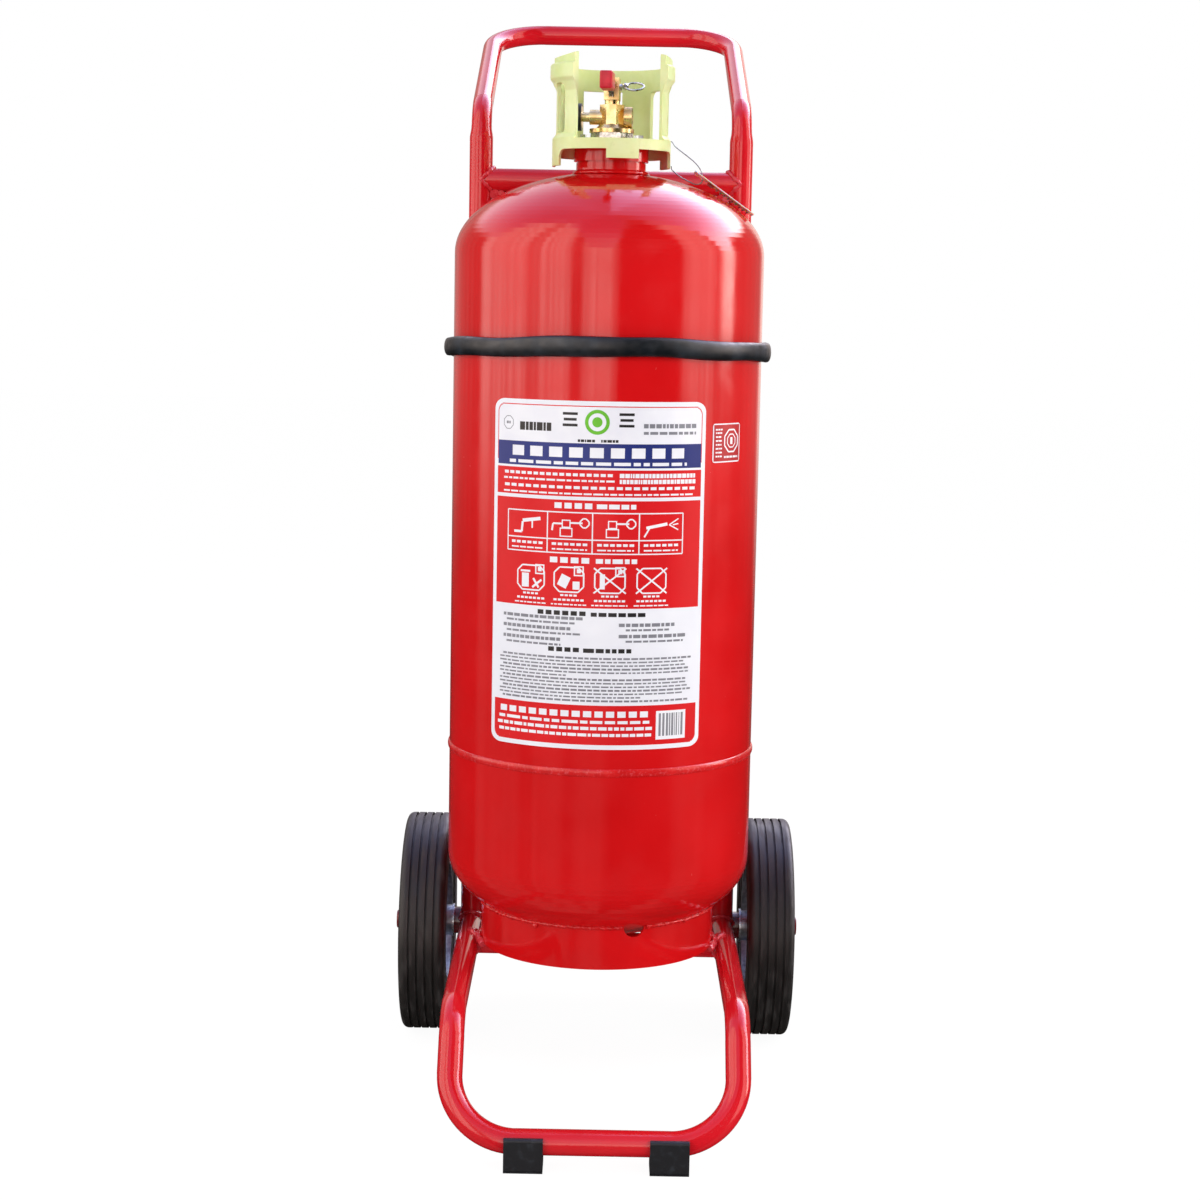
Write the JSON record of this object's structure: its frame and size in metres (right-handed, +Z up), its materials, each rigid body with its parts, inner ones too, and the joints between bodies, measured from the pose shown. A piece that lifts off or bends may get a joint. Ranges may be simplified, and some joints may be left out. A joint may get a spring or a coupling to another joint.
{
  "type": "wheeled fire extinguisher",
  "caption": "Upright steel gas cylinder on a two-wheeled tube trolley with a front foot loop, a rear drawing handle, a guarded lever valve and a buffer ring.",
  "frame": {"origin": "on the floor, at the middle of the part's width and length", "axes": "+Z up, the front with the foot loop faces -Y, the drawing handle reaches to +Y, +X to the right as seen from the front, looking along +Y; the wheels turn about X"},
  "size_m": [0.4576, 0.7192, 1.139],
  "materials": {
    "cylinder_paint": "gloss",
    "frame_paint": "gloss",
    "axle_paint": "satin",
    "siphon_steel": "satin",
    "buffer_rubber": "matte",
    "pad_rubber": "matte",
    "front_label_film": "satin",
    "side_label_film": "satin",
    "tyre_rubber": "matte",
    "rim_steel": "satin",
    "bush_plastic": "matte",
    "zinc": "satin",
    "guard_plastic": "satin",
    "brass": "satin",
    "sleeve_plastic": "satin",
    "cap_plastic": "matte",
    "dial_face": "matte",
    "needle_black": "matte",
    "lens": "gloss",
    "tag_card": "matte",
    "tag_wire_steel": "satin"
  },
  "bodies": {
    "trolley": {"upper_shell": "cylinder_paint", "lower_shell": "cylinder_paint", "girth_weld": "cylinder_paint", "base_ring": "cylinder_paint", "neck": "cylinder_paint", "left_upright": "frame_paint", "right_upright": "frame_paint", "top_crossbar": "frame_paint", "seat_tube": "frame_paint", "foot_loop": "frame_paint", "drawing_handle": "frame_paint", "axle": "axle_paint", "axle_collars": "axle_paint", "siphon_tube": "siphon_steel", "buffer_ring": "buffer_rubber", "left_foot_pad": "pad_rubber", "right_foot_pad": "pad_rubber", "front_label": "front_label_film", "side_label": "side_label_film", "axle_washers": "zinc", "cotter_pins": "zinc", "guard_screws": "zinc", "steel_nut": "zinc", "pivot_pin": "zinc", "valve_guard": "guard_plastic", "valve_body": "brass", "gauge_case": "brass", "gauge_dial": "dial_face", "gauge_lens": "lens", "tag": "tag_card", "tag_wire": "tag_wire_steel"},
    "left_wheel": {"left_tyre": "tyre_rubber", "left_rim": "rim_steel", "left_bush": "bush_plastic"},
    "right_wheel": {"right_tyre": "tyre_rubber", "right_rim": "rim_steel", "right_bush": "bush_plastic"},
    "lever": {"lever": "zinc", "lever_sleeve": "sleeve_plastic"},
    "stem": {"valve_stem": "zinc"},
    "safety_pin": {"safety_pin": "zinc"},
    "pull_ring": {"pull_ring": "zinc"},
    "dust_cap": {"dust_cap": "cap_plastic"},
    "gauge_needle": {"gauge_needle": "needle_black"}
  },
  "joints": [
    {"name": "left_wheel_spin", "type": "hinge", "parent": "trolley", "child": "left_wheel", "pos_m": [-0.19, 0.09731, 0.121], "axis": [1, 0, 0], "continuous": true},
    {"name": "right_wheel_spin", "type": "hinge", "parent": "trolley", "child": "right_wheel", "pos_m": [0.19, 0.09731, 0.121], "axis": [1, 0, 0], "continuous": true},
    {"name": "lever_swing", "type": "hinge", "parent": "trolley", "child": "lever", "pos_m": [0, -0.03269, 1.03752], "axis": [-0.9962, 0.0872, 0], "range_deg": [0, 90]},
    {"name": "stem_slide", "type": "slide", "parent": "trolley", "child": "stem", "axis": [0, 0, -1], "range_m": [0, 0.004]},
    {"name": "safety_pin_slide", "type": "slide", "parent": "trolley", "child": "safety_pin", "axis": [0.9962, -0.0872, 0], "range_m": [0, 0.013]},
    {"name": "pull_ring_swing", "type": "hinge", "parent": "safety_pin", "child": "pull_ring", "pos_m": [0.01312, -0.04337, 1.03752], "axis": [0.0777, 0.8876, 0.454], "range_deg": [-60, 60]},
    {"name": "dust_cap_slide", "type": "slide", "parent": "trolley", "child": "dust_cap", "axis": [-0.9962, 0.0872, 0], "range_m": [0, 0.014]},
    {"name": "gauge_needle_turn", "type": "hinge", "parent": "trolley", "child": "gauge_needle", "pos_m": [0.01594, -0.03408, 1.00702], "axis": [0.9962, -0.0872, 0], "range_deg": [-60, 60]}
  ],
  "couplings": [
    {"joint": "stem_slide", "follows": "lever_swing", "m_per_rad": 0.002546}
  ]
}
